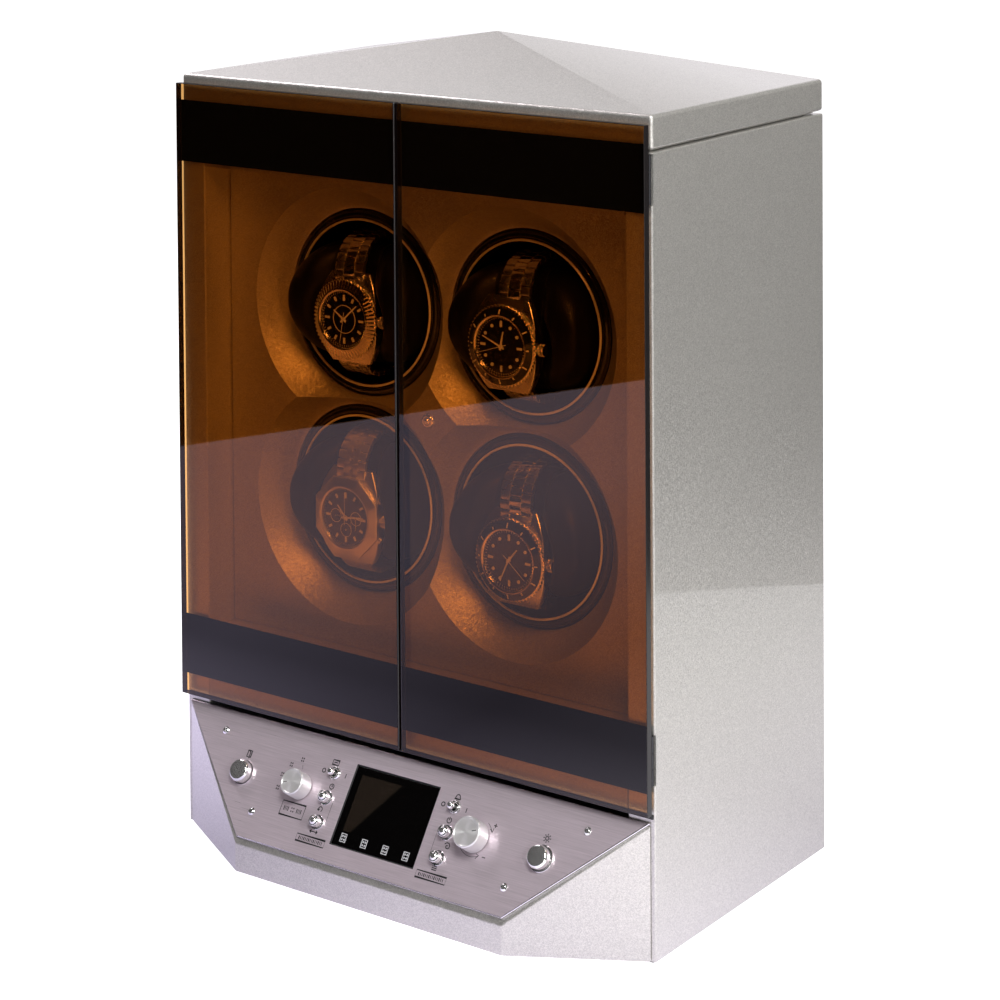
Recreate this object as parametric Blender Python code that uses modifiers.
"""Upright watch winder cabinet for four watches.

Frame: +X right, -Y front, +Z up, metres. The origin is on the ground under the plan centre of the
cabinet body. Two glass doors cover the front above a slanted control console. Behind the doors a
fascia carries four winder units, each a fixed housing, a rotating cup and a soft watch cushion.
"""

import math

import bmesh
import bpy
from mathutils import Matrix, Vector

# ---------------------------------------------------------------- driving dimensions (metres)
CABINET_WIDTH = 0.300
CABINET_DEPTH = 0.165
FELT_THICKNESS = 0.002
FELT_INSET = 0.004
BODY_TOP = 0.3909
LID_BOTTOM = 0.3923
LID_EDGE_TOP = 0.4087
LID_APEX = 0.4330
LID_EDGE_RADIUS = 0.0018
LID_PLINTH_INSET = 0.004

SIDE_THICKNESS = 0.0155
BACK_THICKNESS = 0.012
BOARD_THICKNESS = 0.012
PANEL_EDGE_RADIUS = 0.0007
CLEARANCE = 0.0003

FLOOR_TOP = 0.1100
FLOOR_THICKNESS = 0.010
UPPER_RAIL_BOTTOM = 0.3600
FASCIA_Y = -0.0623
FASCIA_THICKNESS = 0.018

CONSOLE_TOP = 0.0714
PROW_DEPTH = 0.0364
PROW_FRONT_TOP = 0.0197
PROW_FRONT_HALF_WIDTH = 0.0849
PROW_SIDE_INSET = 0.0022
CONSOLE_WALL = 0.003
PLATE_THICKNESS = 0.0012
PLATE_INSET = 0.0010
PLATE_TOP_S = 0.0021
PLATE_FRONT_HALF_WIDTH = 0.0850
SHELL_RECESS = 0.0015

GLASS_THICKNESS = 0.0040
GLASS_EDGE_CHAMFER = 0.0004
GLASS_FRONT_OFFSET = 0.0058
GLASS_BOTTOM = 0.0740
GLASS_TOP = 0.4045
GLASS_SIDE_INSET = 0.0006
DOOR_GAP = 0.0012

CUP_HALF_SPACING = 0.0533
CUP_Z_LOWER = 0.1856
CUP_Z_UPPER = 0.2902
RIM_Y = -0.0482
CUP_RADIUS = 0.0448
CUP_DEPTH = 0.0465
CUP_WALL = 0.0022
HOUSING_BORE = 0.0452
HOUSING_NOSE_RADIUS = 0.0495
FASCIA_HOLE_RADIUS = 0.0499
DISH_RADIUS = 0.0628
DISH_DEPTH = 0.0155
SPINDLE_RADIUS = 0.0030
MOTOR_RADIUS = 0.0160
MOTOR_LENGTH = 0.0180

CUSHION_HALF_WIDTH = 0.0400
CUSHION_HALF_HEIGHT = 0.0340
CUSHION_FRONT = 0.0185
CUSHION_BACK = -0.0300

HINGE_AXIS_X = 0.1488
HINGE_AXIS_Y = -0.0833
HINGE_HEIGHT = 0.024
HINGE_KNUCKLE_RADIUS = 0.0009
HINGE_LEAF_THICKNESS = 0.0006
HINGE_LEAF_REACH = 0.026
HINGE_RECESS = 0.001
HINGE_CENTRES_Z = {"lower": 0.1000, "upper": 0.3780}

DISPLAY_HALF_WIDTH = 0.0263
DISPLAY_TOP_S = 0.0121
DISPLAY_BOTTOM_S = 0.0521
LARGE_BUTTON_RADIUS = 0.0058
LARGE_BUTTON_X = 0.0956
LARGE_BUTTON_S = 0.0310
SMALL_BUTTON_RADIUS = 0.0030
SMALL_BUTTON_X = 0.0386
SMALL_BUTTON_S = {"upper": 0.0317, "lower": 0.0443}
TOGGLE_S = 0.0190
TOGGLE_TILT = math.radians(12)
TOGGLE_HOLE_RADIUS = 0.0030
KNOB_X = 0.0560
KNOB_S = 0.0300
SELECT_KNOB_RADIUS = 0.0067
ADJUST_KNOB_RADIUS = 0.0077
KNOB_HEIGHT = 0.0098
SHAFT_HOLE_RADIUS = 0.0035
SCREW_HOLE_RADIUS = 0.0015
PLATE_SCREW_PLACES = {
    "upper_left": (-0.1162, 0.0130),
    "upper_right": (0.1162, 0.0130),
    "lower_left": (-0.0808, 0.0484),
    "lower_right": (0.0808, 0.0484),
}
BOARD_H = -0.0160
WINDOW_HALF_WIDTH = 0.072
WINDOW_S = (0.007, 0.057)

CATCH_HALF_WIDTH = 0.0092
CATCH_HALF_HEIGHT = 0.0042
CATCH_DEPTH = 0.026
CATCH_Z = 0.0930
STRIKE_X = (0.0022, 0.0085)
STRIKE_HALF_HEIGHT = 0.0030
JACK_X = 0.100
JACK_Z = 0.040
JACK_HOLE_RADIUS = 0.0061

# ---------------------------------------------------------------- derived places
HALF_WIDTH = CABINET_WIDTH / 2
FRONT_Y = -CABINET_DEPTH / 2
BACK_Y = CABINET_DEPTH / 2
INNER_X = HALF_WIDTH - SIDE_THICKNESS
BACK_PANEL_Y = BACK_Y - BACK_THICKNESS
TOP_PANEL_Z = BODY_TOP - BOARD_THICKNESS
GLASS_FRONT_Y = FRONT_Y - GLASS_FRONT_OFFSET
GLASS_BACK_Y = GLASS_FRONT_Y + GLASS_THICKNESS
PROW_HALF_WIDTH = HALF_WIDTH - PROW_SIDE_INSET
SLANT_LENGTH = math.hypot(PROW_DEPTH, CONSOLE_TOP - PROW_FRONT_TOP)
SLANT_ANGLE = math.atan2(CONSOLE_TOP - PROW_FRONT_TOP, PROW_DEPTH)

ROUND_STEPS = 32
SMALL_STEPS = 16
DISH_POINTS = 5


def clear_scene():
    for old in list(bpy.data.objects):
        bpy.data.objects.remove(old, do_unlink=True)


clear_scene()
PARTS = bpy.data.collections.new("watch_winder")
CUTTERS = bpy.data.collections.new("cutters")
bpy.context.scene.collection.children.link(PARTS)
bpy.context.scene.collection.children.link(CUTTERS)


# ---------------------------------------------------------------- materials
def material(name, colour, roughness, metallic, alpha=1.0):
    made = bpy.data.materials.new(name)
    made.use_nodes = True
    shader = made.node_tree.nodes["Principled BSDF"]
    shader.inputs["Base Color"].default_value = (*colour, 1.0)
    shader.inputs["Roughness"].default_value = roughness
    shader.inputs["Metallic"].default_value = metallic
    shader.inputs["Alpha"].default_value = alpha
    return made


LACQUER = material("silver_lacquer", (0.55, 0.54, 0.53), 0.28, 0.6)
BRUSHED = material("brushed_aluminium", (0.62, 0.60, 0.62), 0.35, 1.0)
CHROME = material("chrome", (0.80, 0.80, 0.82), 0.08, 1.0)
SPUN = material("spun_aluminium", (0.78, 0.77, 0.76), 0.25, 1.0)
GLASS = material("bronze_glass", (0.35, 0.16, 0.05), 0.05, 0.0, 0.35)
DISPLAY_GLASS = material("display_glass", (0.01, 0.01, 0.012), 0.06, 0.0)
GLOSS_BLACK = material("gloss_black_plastic", (0.015, 0.015, 0.017), 0.15, 0.0)
MATTE_BLACK = material("matte_black_plastic", (0.02, 0.02, 0.022), 0.5, 0.0)
CUSHION_BLACK = material("black_cushion_cover", (0.02, 0.018, 0.018), 0.35, 0.0)
STEEL = material("steel", (0.55, 0.56, 0.58), 0.3, 1.0)
BOARD_GREEN = material("circuit_board", (0.02, 0.12, 0.05), 0.45, 0.0)
FELT = material("base_felt", (0.03, 0.03, 0.03), 0.95, 0.0)
BACK_BOARD = material("back_board_lacquer", (0.50, 0.49, 0.48), 0.4, 0.5)


# ---------------------------------------------------------------- helpers
def empty(name, matrix):
    made = bpy.data.objects.new(name, None)
    PARTS.objects.link(made)
    made.matrix_world = matrix
    return made


def add(name, mesh, look, parent=None, matrix=None):
    """One object in the parts collection, or a hidden cutter where look is None."""
    made = bpy.data.objects.new(name, mesh)
    (PARTS if look else CUTTERS).objects.link(made)
    if look:
        mesh.materials.append(look)
    else:
        made.hide_render = True
        made.display_type = "WIRE"
    made.parent = parent
    if matrix is not None:
        made.matrix_local = matrix
    return made


def mesh_from(name, shape):
    mesh = bpy.data.meshes.new(name)
    shape.to_mesh(mesh)
    shape.free()
    return mesh


def box(name, x, y, z, look, parent=None, matrix=None):
    """A box between the (low, high) pairs x, y and z of its own frame."""
    shape = bmesh.new()
    bmesh.ops.create_cube(shape, size=1.0)
    size = Vector((x[1] - x[0], y[1] - y[0], z[1] - z[0]))
    middle = Vector((x[0] + x[1], y[0] + y[1], z[0] + z[1])) / 2
    bmesh.ops.scale(shape, vec=size, verts=shape.verts)
    bmesh.ops.translate(shape, vec=middle, verts=shape.verts)
    return add(name, mesh_from(name, shape), look, parent, matrix)


def cylinder(name, radius, low, high, look, parent=None, matrix=None, steps=SMALL_STEPS):
    """A cylinder on its own Z axis between the heights low and high."""
    shape = bmesh.new()
    bmesh.ops.create_cone(
        shape, cap_ends=True, segments=steps, radius1=radius, radius2=radius, depth=high - low
    )
    bmesh.ops.translate(shape, vec=(0, 0, (low + high) / 2), verts=shape.verts)
    return add(name, mesh_from(name, shape), look, parent, matrix)


def prism(name, outline, low, high, look, parent=None, matrix=None):
    """A flat outline in XY made solid between the heights low and high."""
    curve = bpy.data.curves.new(name, "CURVE")
    curve.dimensions = "2D"
    curve.fill_mode = "BOTH"
    curve.extrude = (high - low) / 2
    line = curve.splines.new("POLY")
    line.points.add(len(outline) - 1)
    for point, (x, y) in zip(line.points, outline):
        point.co = (x, y, 0, 1)
    line.use_cyclic_u = True
    guide = bpy.data.objects.new(name + "_outline", curve)
    bpy.context.scene.collection.objects.link(guide)
    graph = bpy.context.evaluated_depsgraph_get()
    mesh = bpy.data.meshes.new_from_object(guide.evaluated_get(graph))
    bpy.data.objects.remove(guide)
    shape = bmesh.new()
    shape.from_mesh(mesh)
    bmesh.ops.remove_doubles(shape, verts=shape.verts, dist=1e-6)
    bmesh.ops.translate(shape, vec=(0, 0, (low + high) / 2), verts=shape.verts)
    shape.to_mesh(mesh)
    shape.free()
    mesh.name = name
    return add(name, mesh, look, parent, matrix)


def turned(name, profile, look, parent=None, matrix=None, steps=ROUND_STEPS, closed=False):
    """A profile of (radius, height) points turned about its own Z axis.

    The points run down the outer side. A closed profile is a ring that leaves its axis open.
    """
    shape = bmesh.new()
    points = [shape.verts.new((radius, 0, height)) for radius, height in profile]
    for start, end in zip(points, points[1:]):
        shape.edges.new((start, end))
    if closed:
        shape.edges.new((points[-1], points[0]))
    made = add(name, mesh_from(name, shape), look, parent, matrix)
    screw = made.modifiers.new("turn", "SCREW")
    screw.steps = steps
    screw.render_steps = steps
    screw.use_merge_vertices = True
    screw.merge_threshold = 1e-5
    screw.use_smooth_shade = True
    return made


def cut(target, *cutters):
    for cutter in cutters:
        modifier = target.modifiers.new("cut_" + cutter.name, "BOOLEAN")
        modifier.operation = "DIFFERENCE"
        modifier.solver = "EXACT"
        modifier.object = cutter


def join(target, *others):
    for other in others:
        modifier = target.modifiers.new("join_" + other.name, "BOOLEAN")
        modifier.operation = "UNION"
        modifier.solver = "EXACT"
        modifier.object = other


def round_edges(target, width, segments=2):
    """Rounds the edges that turn by more than 40 degrees."""
    bevel = target.modifiers.new("edges", "BEVEL")
    bevel.width = width
    bevel.segments = segments
    bevel.limit_method = "ANGLE"
    bevel.angle_limit = math.radians(40)
    for polygon in target.data.polygons:
        polygon.use_smooth = True
    target.data.set_sharp_from_angle(angle=math.radians(35))


# ---------------------------------------------------------------- frames
# The console frame lies on the slanted face: +X right, +Y up the slant, +Z out of the face.
CONSOLE = empty(
    "console_frame",
    Matrix.Translation((0, FRONT_Y, CONSOLE_TOP)) @ Matrix.Rotation(SLANT_ANGLE, 4, "X"),
)
# A winder frame has its origin at the middle of the cup's rim: +X right, +Y up, +Z to the front.
UNIT_CENTRES = {
    "upper_left": (-CUP_HALF_SPACING, CUP_Z_UPPER),
    "upper_right": (CUP_HALF_SPACING, CUP_Z_UPPER),
    "lower_left": (-CUP_HALF_SPACING, CUP_Z_LOWER),
    "lower_right": (CUP_HALF_SPACING, CUP_Z_LOWER),
}


def facing_front(x, y, z):
    return Matrix.Translation((x, y, z)) @ Matrix.Rotation(math.pi / 2, 4, "X")


UNITS = {
    place: empty("winder_frame_" + place, facing_front(x, RIM_Y, z))
    for place, (x, z) in UNIT_CENTRES.items()
}


# ---------------------------------------------------------------- cabinet
def make_cabinet():
    low = FELT_THICKNESS + CLEARANCE
    felt_half_x = HALF_WIDTH - FELT_INSET
    felt_y = (FRONT_Y + FELT_INSET, BACK_Y - FELT_INSET)
    box("base_felt", (-felt_half_x, felt_half_x), felt_y, (0, FELT_THICKNESS), FELT)

    for side, name in ((-1, "left"), (1, "right")):
        x = sorted((side * INNER_X, side * HALF_WIDTH))
        panel = box("side_panel_" + name, x, (FRONT_Y, BACK_Y), (low, BODY_TOP), LACQUER)
        round_edges(panel, PANEL_EDGE_RADIUS)
        for level, z in HINGE_CENTRES_Z.items():
            leaf_x = sorted((side * (INNER_X + 0.0002), side * (HALF_WIDTH + 0.001)))
            leaf_y = (FRONT_Y - 0.002, FRONT_Y + HINGE_RECESS)
            half = HINGE_HEIGHT / 2 + CLEARANCE
            cut(panel, box(f"hinge_recess_{level}_{name}", leaf_x, leaf_y, (z - half, z + half), None))

    inner = (-INNER_X + CLEARANCE, INNER_X - CLEARANCE)
    panel = box("back_panel", inner, (BACK_PANEL_Y, BACK_Y), (low, BODY_TOP), BACK_BOARD)
    jack_place = facing_front(JACK_X, BACK_Y, JACK_Z)
    cut(panel, cylinder("jack_hole", JACK_HOLE_RADIUS, -0.02, 0.02, None, matrix=jack_place, steps=24))

    board_back = BACK_PANEL_Y - CLEARANCE
    box("bottom_panel", inner, (FRONT_Y, board_back), (low, low + BOARD_THICKNESS), LACQUER)
    box("top_panel", inner, (FRONT_Y, board_back), (TOP_PANEL_Z, BODY_TOP), LACQUER)
    box("compartment_floor", inner, (FRONT_Y, board_back), (FLOOR_TOP - FLOOR_THICKNESS, FLOOR_TOP), LACQUER)

    rail_y = (FRONT_Y, FRONT_Y + BOARD_THICKNESS)
    rail_top = FLOOR_TOP - FLOOR_THICKNESS - CLEARANCE
    rail = box("lower_front_rail", inner, rail_y, (CONSOLE_TOP + CLEARANCE, rail_top), LACQUER)
    box("upper_front_rail", inner, rail_y, (UPPER_RAIL_BOTTOM, TOP_PANEL_Z - CLEARANCE), LACQUER)

    catch_x = (-CATCH_HALF_WIDTH, CATCH_HALF_WIDTH)
    catch_y = (FRONT_Y + 0.0002, FRONT_Y + CATCH_DEPTH)
    catch_z = (CATCH_Z - CATCH_HALF_HEIGHT, CATCH_Z + CATCH_HALF_HEIGHT)
    box("door_catch", catch_x, catch_y, catch_z, MATTE_BLACK)
    slot_x = (-CATCH_HALF_WIDTH - CLEARANCE, CATCH_HALF_WIDTH + CLEARANCE)
    slot_z = (catch_z[0] - CLEARANCE, catch_z[1] + CLEARANCE)
    cut(rail, box("catch_slot", slot_x, (FRONT_Y - 0.01, FRONT_Y + 0.03), slot_z, None))

    make_power_jack()


def make_power_jack():
    """A flanged barrel socket let into the back panel."""
    barrel = [(0, -0.0090), (0.0028, -0.0090), (0.0028, 0.0022), (0.0070, 0.0022), (0.0076, 0.0016)]
    barrel += [(0.0076, 0.0004), (0.0057, 0.0004), (0.0057, -0.0200), (0, -0.0200)]
    facing_back = Matrix.Translation((JACK_X, BACK_Y, JACK_Z)) @ Matrix.Rotation(-math.pi / 2, 4, "X")
    turned("power_jack", barrel, MATTE_BLACK, matrix=facing_back, steps=20)


def make_lid():
    """A slab whose top rises in four facets to an apex over the middle, on an inset plinth."""
    shape = bmesh.new()
    bmesh.ops.create_cube(shape, size=1.0)
    bmesh.ops.scale(shape, vec=(CABINET_WIDTH, CABINET_DEPTH, LID_EDGE_TOP - LID_BOTTOM), verts=shape.verts)
    bmesh.ops.translate(shape, vec=(0, 0, (LID_EDGE_TOP + LID_BOTTOM) / 2), verts=shape.verts)
    shape.normal_update()
    top = [face for face in shape.faces if face.normal.z > 0.5]
    apex = bmesh.ops.poke(shape, faces=top)["verts"][0]
    apex.co.z = LID_APEX
    lid = add("pyramid_lid", mesh_from("pyramid_lid", shape), LACQUER)
    round_edges(lid, LID_EDGE_RADIUS, 3)
    half_x = HALF_WIDTH - LID_PLINTH_INSET
    half_y = BACK_Y - LID_PLINTH_INSET
    plinth_z = (BODY_TOP + CLEARANCE, LID_BOTTOM + 0.004)
    plinth = box("lid_plinth", (-half_x, half_x), (-half_y, half_y), plinth_z, None)
    join(lid, plinth)


# ---------------------------------------------------------------- fascia and lamp
def make_fascia():
    low = FLOOR_TOP + CLEARANCE
    high = TOP_PANEL_Z - CLEARANCE
    inner = (-INNER_X + CLEARANCE, INNER_X - CLEARANCE)
    panel = box("fascia_panel", inner, (FASCIA_Y, FASCIA_Y + FASCIA_THICKNESS), (low, high), LACQUER)
    face_h = RIM_Y - FASCIA_Y
    bowl = []
    for i in range(DISH_POINTS):
        share = i / (DISH_POINTS - 1)
        radius = DISH_RADIUS + (FASCIA_HOLE_RADIUS - DISH_RADIUS) * share
        bowl.append((radius, face_h - DISH_DEPTH * (1 - (1 - share) ** 1.35)))
    profile = [(0, face_h + 0.01), (DISH_RADIUS, face_h + 0.01), *bowl]
    profile += [(FASCIA_HOLE_RADIUS, face_h - FASCIA_THICKNESS - 0.01), (0, face_h - FASCIA_THICKNESS - 0.01)]
    for place, frame in UNITS.items():
        cut(panel, turned("dish_" + place, profile, None, frame))
    lamp_frame = facing_front(0, FASCIA_Y, (CUP_Z_UPPER + CUP_Z_LOWER) / 2)
    cut(panel, cylinder("lamp_hole", 0.0026, -0.03, 0.01, None, matrix=lamp_frame))
    lamp = [(0, 0.0028), (0.0012, 0.0026), (0.0020, 0.0021), (0.0034, 0.0014), (0.0038, 0.0008)]
    lamp += [(0.0038, 0.0003), (0.0022, 0.0003), (0.0022, -0.024), (0, -0.024)]
    turned("compartment_lamp", lamp, CHROME, matrix=lamp_frame, steps=20)


# ---------------------------------------------------------------- winder units
def make_winder_units():
    flange_h = RIM_Y - FASCIA_Y - FASCIA_THICKNESS - 0.0004
    rear = -CUP_DEPTH - 0.0020
    housing = [
        (HOUSING_BORE, -0.0012),
        (0.0460, 0.0002),
        (0.0478, -0.0008),
        (0.0492, -0.0036),
        (HOUSING_NOSE_RADIUS, flange_h),
        (0.0518, flange_h),
        (0.0518, flange_h - 0.0025),
        (0.0478, flange_h - 0.0025),
        (0.0478, rear - 0.0020),
        (0.0042, rear - 0.0020),
        (0.0042, rear),
        (HOUSING_BORE, rear),
    ]
    inside = CUP_RADIUS - CUP_WALL
    spindle_end = rear - 0.0100
    cup = [
        (0, -CUP_DEPTH + CUP_WALL),
        (inside - 0.0006, -CUP_DEPTH + CUP_WALL),
        (inside, -0.0016),
        (0.0432, 0.0002),
        (0.0442, 0.0004),
        (CUP_RADIUS, -0.0004),
        (CUP_RADIUS, -CUP_DEPTH),
        (SPINDLE_RADIUS, -CUP_DEPTH),
        (SPINDLE_RADIUS, spindle_end),
        (0, spindle_end),
    ]
    motor_front = rear - 0.0023
    motor = [
        (0, spindle_end - 0.0010),
        (SPINDLE_RADIUS + CLEARANCE, spindle_end - 0.0010),
        (SPINDLE_RADIUS + CLEARANCE, motor_front),
        (MOTOR_RADIUS - 0.0006, motor_front),
        (MOTOR_RADIUS, motor_front - 0.0006),
        (MOTOR_RADIUS, motor_front - MOTOR_LENGTH),
        (0, motor_front - MOTOR_LENGTH),
    ]
    for place, frame in UNITS.items():
        turned("winder_housing_" + place, housing, GLOSS_BLACK, frame, closed=True)
        turned("cup_" + place, cup, GLOSS_BLACK, frame)
        turned("gear_motor_" + place, motor, STEEL, frame, steps=20)
        make_cushion("cushion_" + place, frame)


# Stations along a cushion from its middle to its end: share of the half width, height, front and back.
CUSHION_STATIONS = (
    (0.10, 0.94, 0.44, 0.86),
    (0.46, 0.97, 0.97, 0.98),
    (0.80, 0.84, 1.0, 0.96),
    (1.0, 0.52, 0.97, 0.62),
)
# The pillow bulges over the rim of its cup: its back is narrower and lower than its front.
CUSHION_FRONT_WIDTH = 1.045
CUSHION_BACK_SHARE = (0.90, 0.95)
# A smoothed cage draws in by about these shares of its half sizes.
CAGE_SPREAD = Vector((1.01, 1.12, 1.12))


def make_cushion(name, frame):
    """A fat round pillow with a waist for the watch strap, from a coarse cage."""
    shape = bmesh.new()
    bmesh.ops.create_cube(shape, size=2.0)
    lengthwise = [edge for edge in shape.edges if abs(edge.verts[0].co.x - edge.verts[1].co.x) > 1]
    bmesh.ops.subdivide_edges(shape, edges=lengthwise, cuts=6, use_grid_fill=True)
    middle = (CUSHION_FRONT + CUSHION_BACK) / 2
    half_depth = (CUSHION_FRONT - CUSHION_BACK) / 2
    for vert in shape.verts:
        number = round((abs(vert.co.x) * 7 - 1) / 2)
        share, height, front, back = CUSHION_STATIONS[number]
        at_front = vert.co.z > 0
        width = CUSHION_FRONT_WIDTH if at_front else CUSHION_BACK_SHARE[0]
        vert.co.x = math.copysign(share * width * CUSHION_HALF_WIDTH * CAGE_SPREAD.x, vert.co.x)
        vert.co.y *= height * (1 if at_front else CUSHION_BACK_SHARE[1]) * CUSHION_HALF_HEIGHT * CAGE_SPREAD.y
        vert.co.z *= (front if at_front else back) * half_depth * CAGE_SPREAD.z
        vert.co.z += middle
    cushion = add(name, mesh_from(name, shape), CUSHION_BLACK, frame)
    soften = cushion.modifiers.new("soften", "SUBSURF")
    soften.levels = 2
    soften.render_levels = 2


# ---------------------------------------------------------------- console
def console_outline(inset):
    """Plan of the prow, moved in by inset from the front and the two side facets."""
    lean = math.atan2(PROW_HALF_WIDTH - PROW_FRONT_HALF_WIDTH, PROW_DEPTH)
    side = inset / math.cos(lean)
    at_front = side - inset * math.tan(lean)
    back_y = FRONT_Y - CLEARANCE if inset == 0 else FRONT_Y + 0.02
    back_spread = (back_y - FRONT_Y) * math.tan(lean)
    rear = PROW_HALF_WIDTH - side + back_spread
    front = PROW_FRONT_HALF_WIDTH - at_front
    front_y = FRONT_Y - PROW_DEPTH + inset
    return [(-rear, back_y), (-front, front_y), (front, front_y), (rear, back_y)]


def make_console():
    low = FELT_THICKNESS + CLEARANCE
    above = ((-0.3, 0.3), (-0.2, 0.1))
    shell = prism("console_shell", console_outline(0), low, 0.1, LACQUER)
    cut(shell, box("slant_cut", *above, (-SHELL_RECESS, 0.1), None, CONSOLE))
    cavity = prism("console_cavity", console_outline(CONSOLE_WALL), low + CONSOLE_WALL, 0.1, None)
    cut(cavity, box("cavity_cut", *above, (-SHELL_RECESS - CONSOLE_WALL, 0.1), None, CONSOLE))
    cut(shell, cavity)
    window_x = (-WINDOW_HALF_WIDTH, WINDOW_HALF_WIDTH)
    window_y = (-WINDOW_S[1], -WINDOW_S[0])
    cut(shell, box("console_window", window_x, window_y, (-0.02, 0.01), None, CONSOLE))
    for side in (-1, 1):
        place = Matrix.Translation((side * LARGE_BUTTON_X, -LARGE_BUTTON_S, 0))
        radius = LARGE_BUTTON_RADIUS + 0.0008
        cut(shell, cylinder(f"shell_button_hole_{side}", radius, -0.02, 0.01, None, CONSOLE, place))
    for place, (x, s) in PLATE_SCREW_PLACES.items():
        at = Matrix.Translation((x, -s, 0))
        name = "shell_screw_hole_" + place
        cut(shell, cylinder(name, SCREW_HOLE_RADIUS, -0.02, 0.01, None, CONSOLE, at, 12))
    make_control_plate()
    make_plate_screws()
    board = ((-0.104, 0.104), (-0.056, -0.008), (BOARD_H, BOARD_H + 0.0016))
    box("control_board", *board, BOARD_GREEN, CONSOLE)
    display = (
        (-DISPLAY_HALF_WIDTH + CLEARANCE, DISPLAY_HALF_WIDTH - CLEARANCE),
        (-DISPLAY_BOTTOM_S + CLEARANCE, -DISPLAY_TOP_S - CLEARANCE),
        (-0.0075, -0.0004),
    )
    box("display_module", *display, DISPLAY_GLASS, CONSOLE)


def make_control_plate():
    top_s = PLATE_TOP_S
    low_s = SLANT_LENGTH - PLATE_INSET
    right_side = [(PLATE_FRONT_HALF_WIDTH, -low_s), (PROW_HALF_WIDTH - CLEARANCE, -top_s)]
    left_side = [(-x, y) for x, y in reversed(right_side)]
    plate = prism("control_plate", left_side + right_side, -PLATE_THICKNESS, 0, BRUSHED, CONSOLE)
    opening_x = (-DISPLAY_HALF_WIDTH, DISPLAY_HALF_WIDTH)
    opening_y = (-DISPLAY_BOTTOM_S, -DISPLAY_TOP_S)
    cut(plate, box("display_opening", opening_x, opening_y, (-0.01, 0.01), None, CONSOLE))
    holes = [(x, s, SCREW_HOLE_RADIUS, 12) for x, s in PLATE_SCREW_PLACES.values()]
    for side in (-1, 1):
        holes.append((side * LARGE_BUTTON_X, LARGE_BUTTON_S, LARGE_BUTTON_RADIUS + CLEARANCE, 32))
        holes.append((side * KNOB_X, KNOB_S, SHAFT_HOLE_RADIUS, 16))
        holes.append((side * SMALL_BUTTON_X, TOGGLE_S, TOGGLE_HOLE_RADIUS, 16))
        for s in SMALL_BUTTON_S.values():
            holes.append((side * SMALL_BUTTON_X, s, SMALL_BUTTON_RADIUS + CLEARANCE, 20))
    for number, (x, s, radius, steps) in enumerate(holes):
        at = Matrix.Translation((x, -s, 0))
        cut(plate, cylinder(f"plate_hole_{number}", radius, -0.01, 0.01, None, CONSOLE, at, steps))


def make_plate_screws():
    profile = [(0, 0.0011), (0.0013, 0.0009), (0.0021, 0.0003), (0.0021, 0.0001)]
    profile += [(0.0012, 0.0001), (0.0012, -0.0065), (0, -0.0065)]
    for place, (x, s) in PLATE_SCREW_PLACES.items():
        at = Matrix.Translation((x, -s, 0.0001))
        turned("plate_screw_" + place, profile, CHROME, CONSOLE, at, steps=12)


def knob_profile(radius, height):
    """A spun cap with a raised rim on its face, and the shaft under it."""
    chamfer = 0.0005
    return [
        (0, height - 0.0003),
        (radius - 0.0014, height - 0.0003),
        (radius - 0.0011, height),
        (radius - chamfer, height),
        (radius, height - chamfer),
        (radius, 0.0006),
        (0.0030, 0.0006),
        (0.0030, -0.0125),
        (0, -0.0125),
    ]


def button_profile(radius, height, skirt, stem_end):
    """A slightly dished cap standing to the height, a skirt below the plate, and a thinner stem."""
    return [
        (0, height - 0.0002),
        (radius * 0.72, height - 0.0001),
        (radius * 0.90, height),
        (radius, height - 0.0004),
        (radius, -skirt),
        (radius * 0.45, -skirt),
        (radius * 0.45, stem_end),
        (0, stem_end),
    ]


def make_controls():
    selector = Matrix.Translation((-KNOB_X, -KNOB_S, 0))
    adjuster = Matrix.Translation((KNOB_X, -KNOB_S, 0))
    turned("cup_select_knob", knob_profile(SELECT_KNOB_RADIUS, KNOB_HEIGHT), SPUN, CONSOLE, selector)
    turned("adjust_knob", knob_profile(ADJUST_KNOB_RADIUS, KNOB_HEIGHT), SPUN, CONSOLE, adjuster)

    large = button_profile(LARGE_BUTTON_RADIUS, 0.0056, 0.0040, -0.0118)
    for side, name in ((-1, "door_button"), (1, "light_button")):
        at = Matrix.Translation((side * LARGE_BUTTON_X, -LARGE_BUTTON_S, 0))
        turned(name, large, CHROME, CONSOLE, at, steps=28)

    small = button_profile(SMALL_BUTTON_RADIUS, 0.0050, 0.0030, -0.0128)
    names = {
        (-1, "upper"): "timer_button",
        (-1, "lower"): "direction_button",
        (1, "upper"): "turns_button",
        (1, "lower"): "mode_button",
    }
    for (side, level), name in names.items():
        at = Matrix.Translation((side * SMALL_BUTTON_X, -SMALL_BUTTON_S[level], 0))
        turned(name, small, CHROME, CONSOLE, at, steps=SMALL_STEPS)

    lever = [(0, 0.0047), (0.0012, 0.0044), (0.0019, 0.0034), (0.0019, 0.0022), (0.0012, 0.0011)]
    lever += [(0.0011, -0.0040), (0, -0.0040)]
    for side, name in ((-1, "display_light_toggle"), (1, "alarm_toggle")):
        at = Matrix.Translation((side * SMALL_BUTTON_X, -TOGGLE_S, 0)) @ Matrix.Rotation(-TOGGLE_TILT, 4, "Y")
        turned(name, lever, CHROME, CONSOLE, at, steps=SMALL_STEPS)


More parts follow.
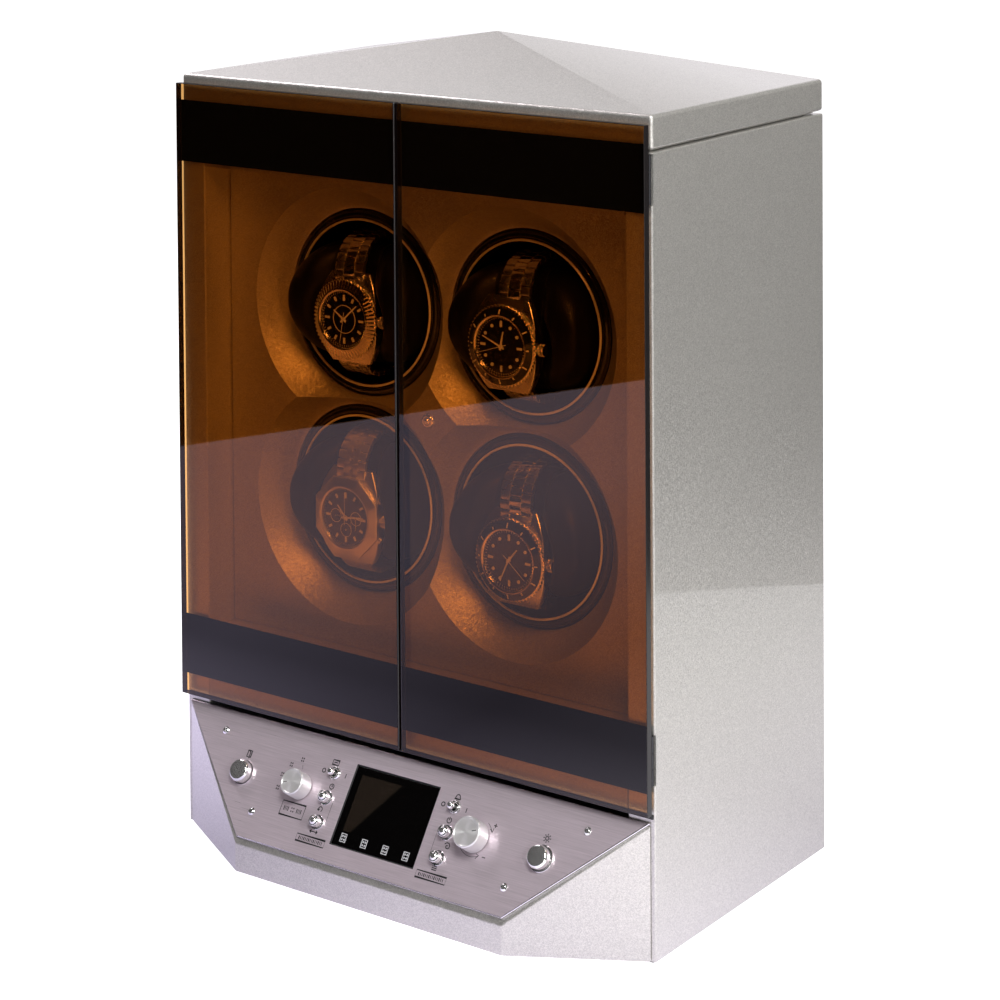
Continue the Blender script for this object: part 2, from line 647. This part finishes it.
# ---------------------------------------------------------------- doors
def make_doors():
    for side, name in ((-1, "left"), (1, "right")):
        pivot = empty("door_frame_" + name, Matrix.Translation((side * HINGE_AXIS_X, HINGE_AXIS_Y, 0)))
        to_pivot = Matrix.Translation((-side * HINGE_AXIS_X, -HINGE_AXIS_Y, 0))
        x = sorted((side * DOOR_GAP / 2, side * (HALF_WIDTH - GLASS_SIDE_INSET)))
        y = (GLASS_FRONT_Y, GLASS_BACK_Y)
        z = (GLASS_BOTTOM, GLASS_TOP)
        round_edges(box("door_glass_" + name, x, y, z, GLASS, pivot, to_pivot), GLASS_EDGE_CHAMFER, 1)
        strike_x = sorted((side * STRIKE_X[0], side * STRIKE_X[1]))
        strike_y = (GLASS_BACK_Y + 0.0001, FRONT_Y - 0.0002)
        strike_z = (CATCH_Z - STRIKE_HALF_HEIGHT, CATCH_Z + STRIKE_HALF_HEIGHT)
        box("door_strike_" + name, strike_x, strike_y, strike_z, STEEL, pivot, to_pivot)
        for level, z in HINGE_CENTRES_Z.items():
            make_hinge(side, name, level, z, pivot, to_pivot)


def make_hinge(side, name, level, z, pivot, to_pivot):
    """A slim butt hinge: the outer knuckles are the cabinet's leaf, the middle one is the door's."""
    place = f"{level}_{name}"
    third = HINGE_HEIGHT / 6
    half = HINGE_HEIGHT / 2
    leaf_z = (z - half, z + half)
    axis = Matrix.Translation((side * HINGE_AXIS_X, HINGE_AXIS_Y, z))
    notch_x = sorted((side * (HINGE_AXIS_X - 0.0016), side * (HINGE_AXIS_X + 0.0020)))

    fixed_x = sorted((side * (INNER_X + 0.0006), side * HINGE_AXIS_X))
    fixed_y = (FRONT_Y - 0.0003, FRONT_Y - 0.0003 + HINGE_LEAF_THICKNESS)
    fixed = box("hinge_cabinet_leaf_" + place, fixed_x, fixed_y, leaf_z, STEEL)
    gap_z = (z - third - CLEARANCE, z + third + CLEARANCE)
    cut(fixed, box("fixed_notch_" + place, notch_x, (FRONT_Y - 0.003, FRONT_Y + 0.003), gap_z, None))
    for end, (low, high) in {"low": (-half, -third), "high": (third, half)}.items():
        knuckle_name = f"fixed_knuckle_{place}_{end}"
        join(fixed, cylinder(knuckle_name, HINGE_KNUCKLE_RADIUS, low, high, None, None, axis, 10))

    door_y = (GLASS_BACK_Y + 0.0001, GLASS_BACK_Y + 0.0001 + HINGE_LEAF_THICKNESS)
    door_x = sorted((side * (HINGE_AXIS_X - HINGE_LEAF_REACH), side * HINGE_AXIS_X))
    leaf = box("hinge_door_leaf_" + place, door_x, door_y, leaf_z, STEEL, pivot, to_pivot)
    inner_end = third - CLEARANCE
    for end, (low, high) in {"low": (-0.013, -inner_end), "high": (inner_end, 0.013)}.items():
        notch_z = (z + low, z + high)
        cut(leaf, box(f"door_notch_{place}_{end}", notch_x, (FRONT_Y - 0.006, FRONT_Y), notch_z, None))
    knuckle_name = "door_knuckle_" + place
    join(leaf, cylinder(knuckle_name, HINGE_KNUCKLE_RADIUS, -inner_end, inner_end, None, None, axis, 10))


make_cabinet()
make_lid()
make_fascia()
make_winder_units()
make_console()
make_controls()
make_doors()
